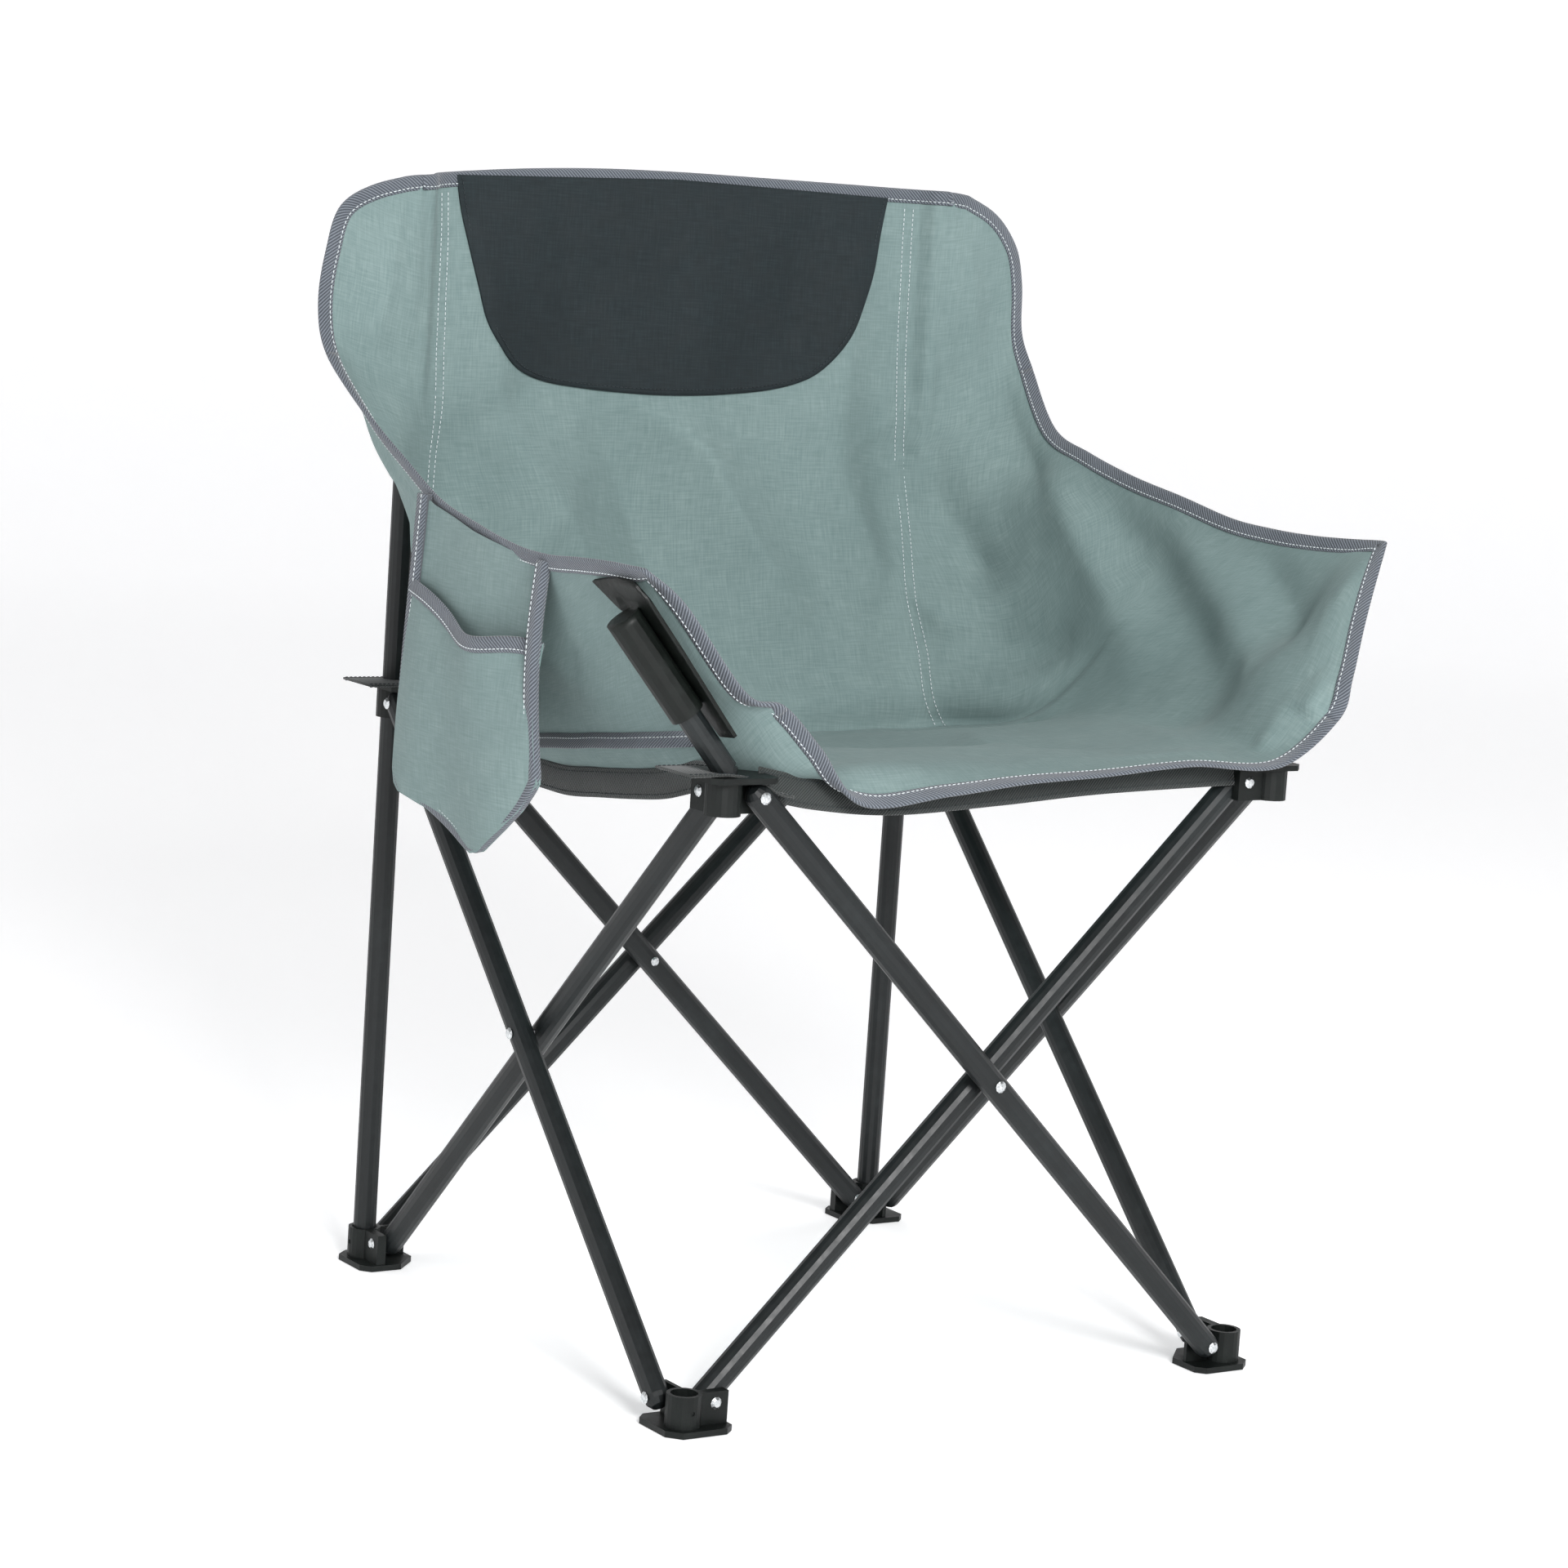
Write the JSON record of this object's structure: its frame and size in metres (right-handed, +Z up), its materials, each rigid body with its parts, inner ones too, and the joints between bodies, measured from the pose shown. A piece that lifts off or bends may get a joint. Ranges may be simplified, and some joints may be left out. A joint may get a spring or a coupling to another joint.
{
  "type": "folding camp chair",
  "caption": "Folding camp chair with crossed steel tubes on all sides, moulded feet and hubs, and a fabric bucket seat with arms, a dark head patch and a side pocket.",
  "frame": {"origin": "on the floor, under the middle of the chair's bounding box", "axes": "+Z up, the sitter faces -Y, +X is the sitter's left"},
  "size_m": [0.6018, 0.4664, 0.775],
  "materials": {
    "painted_tube": "satin",
    "black_plastic": "satin",
    "zinc_rivet": "satin",
    "green_grey_fabric": "matte",
    "charcoal_fabric": "matte",
    "black_webbing": "matte"
  },
  "bodies": {
    "root": {"foot_rear_right": "black_plastic", "post_right": "painted_tube", "post_cap_right": "black_plastic", "rivet_rear_right_foot_inner": "zinc_rivet", "rivet_rear_right_foot_outer": "zinc_rivet", "back_panel_upper": "green_grey_fabric", "headrest_patch": "charcoal_fabric"},
    "tube_right_inner": {"tube_right_inner": "painted_tube"},
    "tube_right_outer": {"tube_right_outer": "painted_tube", "rivet_right_crossing": "zinc_rivet"},
    "hub_front_right": {"hub_front_right": "black_plastic", "arm_tube_right": "painted_tube", "arm_sleeve_right": "black_plastic", "corner_tab_front_right": "black_webbing", "rivet_front_right_hub_inner": "zinc_rivet", "rivet_front_right_hub_outer": "zinc_rivet"},
    "hub_rear_right": {"hub_rear_right": "black_plastic", "corner_tab_rear_right": "black_webbing", "rivet_rear_right_hub_inner": "zinc_rivet", "rivet_rear_right_hub_outer": "zinc_rivet", "back_panel_lower": "green_grey_fabric", "arm_panel_right": "green_grey_fabric", "side_pocket": "green_grey_fabric"},
    "foot_front_right": {"foot_front_right": "black_plastic", "rivet_front_right_foot_inner": "zinc_rivet", "rivet_front_right_foot_outer": "zinc_rivet"},
    "tube_front_inner": {"tube_front_inner": "painted_tube"},
    "tube_front_outer": {"tube_front_outer": "painted_tube", "rivet_front_crossing": "zinc_rivet"},
    "hub_front_left": {"hub_front_left": "black_plastic", "arm_tube_left": "painted_tube", "arm_sleeve_left": "black_plastic", "corner_tab_front_left": "black_webbing", "rivet_front_left_hub_inner": "zinc_rivet", "rivet_front_left_hub_outer": "zinc_rivet"},
    "foot_front_left": {"foot_front_left": "black_plastic", "rivet_front_left_foot_inner": "zinc_rivet", "rivet_front_left_foot_outer": "zinc_rivet"},
    "tube_rear_outer": {"tube_rear_outer": "painted_tube", "rivet_rear_crossing": "zinc_rivet"},
    "tube_rear_inner": {"tube_rear_inner": "painted_tube"},
    "hub_rear_left": {"hub_rear_left": "black_plastic", "corner_tab_rear_left": "black_webbing", "rivet_rear_left_hub_inner": "zinc_rivet", "rivet_rear_left_hub_outer": "zinc_rivet", "arm_panel_left": "green_grey_fabric"},
    "foot_rear_left": {"foot_rear_left": "black_plastic", "post_left": "painted_tube", "post_cap_left": "black_plastic", "rivet_rear_left_foot_inner": "zinc_rivet", "rivet_rear_left_foot_outer": "zinc_rivet"},
    "tube_left_inner": {"tube_left_inner": "painted_tube"},
    "tube_left_outer": {"tube_left_outer": "painted_tube", "rivet_left_crossing": "zinc_rivet"},
    "seat_front": {"seat_front": "green_grey_fabric"},
    "seat_rear": {"seat_rear": "green_grey_fabric"}
  },
  "joints": [
    {"name": "fold", "type": "hinge", "parent": "root", "child": "tube_right_inner", "pos_m": [-0.2042, 0.194, 0.0175], "axis": [-1, 0, 0], "range_deg": [0, 42.4], "deforming": ["arm_panel_left", "arm_panel_right", "back_panel_lower", "back_panel_upper", "corner_tab_front_left", "corner_tab_front_right", "corner_tab_rear_left", "corner_tab_rear_right", "headrest_patch", "seat_front", "seat_rear", "side_pocket"]},
    {"name": "right_crossing_pivot", "type": "hinge", "parent": "tube_right_inner", "child": "tube_right_outer", "pos_m": [-0.215, 0, 0.20875], "axis": [-1, 0, 0], "range_deg": [-84.8, 0]},
    {"name": "front_right_hub_side_pivot", "type": "hinge", "parent": "tube_right_inner", "child": "hub_front_right", "pos_m": [-0.2042, -0.194, 0.4], "axis": [-1, 0, 0], "range_deg": [-42.4, 0]},
    {"name": "rear_right_hub_side_pivot", "type": "hinge", "parent": "tube_right_outer", "child": "hub_rear_right", "pos_m": [-0.222, 0.194, 0.4], "axis": [-1, 0, 0], "range_deg": [0, 42.4]},
    {"name": "front_right_foot_side_pivot", "type": "hinge", "parent": "tube_right_outer", "child": "foot_front_right", "pos_m": [-0.222, -0.194, 0.0175], "axis": [-1, 0, 0], "range_deg": [0, 42.4]},
    {"name": "front_right_foot_front_pivot", "type": "hinge", "parent": "foot_front_right", "child": "tube_front_inner", "pos_m": [-0.194, -0.2042, 0.0175], "axis": [0, -1, 0], "range_deg": [0, 42.4]},
    {"name": "front_crossing_pivot", "type": "hinge", "parent": "tube_front_inner", "child": "tube_front_outer", "pos_m": [0, -0.215, 0.20875], "axis": [0, -1, 0], "range_deg": [-84.8, 0]},
    {"name": "front_left_hub_front_pivot", "type": "hinge", "parent": "tube_front_inner", "child": "hub_front_left", "pos_m": [0.194, -0.2042, 0.4], "axis": [0, -1, 0], "range_deg": [-42.4, 0]},
    {"name": "front_left_foot_front_pivot", "type": "hinge", "parent": "tube_front_outer", "child": "foot_front_left", "pos_m": [0.194, -0.222, 0.0175], "axis": [0, -1, 0], "range_deg": [0, 42.4]},
    {"name": "rear_right_foot_rear_pivot", "type": "hinge", "parent": "root", "child": "tube_rear_outer", "pos_m": [-0.194, 0.222, 0.0175], "axis": [0, -1, 0], "range_deg": [0, 42.4]},
    {"name": "rear_crossing_pivot", "type": "hinge", "parent": "tube_rear_outer", "child": "tube_rear_inner", "pos_m": [0, 0.215, 0.20875], "axis": [0, -1, 0], "range_deg": [-84.8, 0]},
    {"name": "rear_left_hub_rear_pivot", "type": "hinge", "parent": "tube_rear_outer", "child": "hub_rear_left", "pos_m": [0.194, 0.222, 0.4], "axis": [0, -1, 0], "range_deg": [-42.4, 0]},
    {"name": "rear_left_foot_rear_pivot", "type": "hinge", "parent": "tube_rear_inner", "child": "foot_rear_left", "pos_m": [0.194, 0.2042, 0.0175], "axis": [0, -1, 0], "range_deg": [0, 42.4]},
    {"name": "front_left_foot_side_pivot", "type": "hinge", "parent": "foot_front_left", "child": "tube_left_inner", "pos_m": [0.2042, -0.194, 0.0175], "axis": [1, 0, 0], "range_deg": [0, 42.4]},
    {"name": "rear_left_foot_side_pivot", "type": "hinge", "parent": "foot_rear_left", "child": "tube_left_outer", "pos_m": [0.222, 0.194, 0.0175], "axis": [-1, 0, 0], "range_deg": [0, 42.4]},
    {"name": "seat_front_fold", "type": "hinge", "parent": "hub_front_right", "child": "seat_front", "pos_m": [0, -0.221, 0.4175], "axis": [1, 0, 0], "range_deg": [0, 81.83]},
    {"name": "seat_rear_fold", "type": "hinge", "parent": "hub_rear_right", "child": "seat_rear", "pos_m": [0, 0.196, 0.4175], "axis": [-1, 0, 0], "range_deg": [0, 81.83]}
  ],
  "couplings": [
    {"joint": "right_crossing_pivot", "follows": "fold", "ratio": -2},
    {"joint": "front_right_hub_side_pivot", "follows": "fold", "ratio": -1},
    {"joint": "rear_right_hub_side_pivot", "follows": "fold", "ratio": 1},
    {"joint": "front_right_foot_side_pivot", "follows": "fold", "ratio": 1},
    {"joint": "front_right_foot_front_pivot", "follows": "fold", "ratio": 1},
    {"joint": "front_crossing_pivot", "follows": "fold", "ratio": -2},
    {"joint": "front_left_hub_front_pivot", "follows": "fold", "ratio": -1},
    {"joint": "front_left_foot_front_pivot", "follows": "fold", "ratio": 1},
    {"joint": "rear_right_foot_rear_pivot", "follows": "fold", "ratio": 1},
    {"joint": "rear_crossing_pivot", "follows": "fold", "ratio": -2},
    {"joint": "rear_left_hub_rear_pivot", "follows": "fold", "ratio": -1},
    {"joint": "rear_left_foot_rear_pivot", "follows": "fold", "ratio": 1},
    {"joint": "front_left_foot_side_pivot", "follows": "fold", "ratio": 1},
    {"joint": "rear_left_foot_side_pivot", "follows": "fold", "ratio": 1},
    {"joint": "seat_front_fold", "follows": "fold", "ratio": 1.93},
    {"joint": "seat_rear_fold", "follows": "fold", "ratio": 1.93}
  ]
}
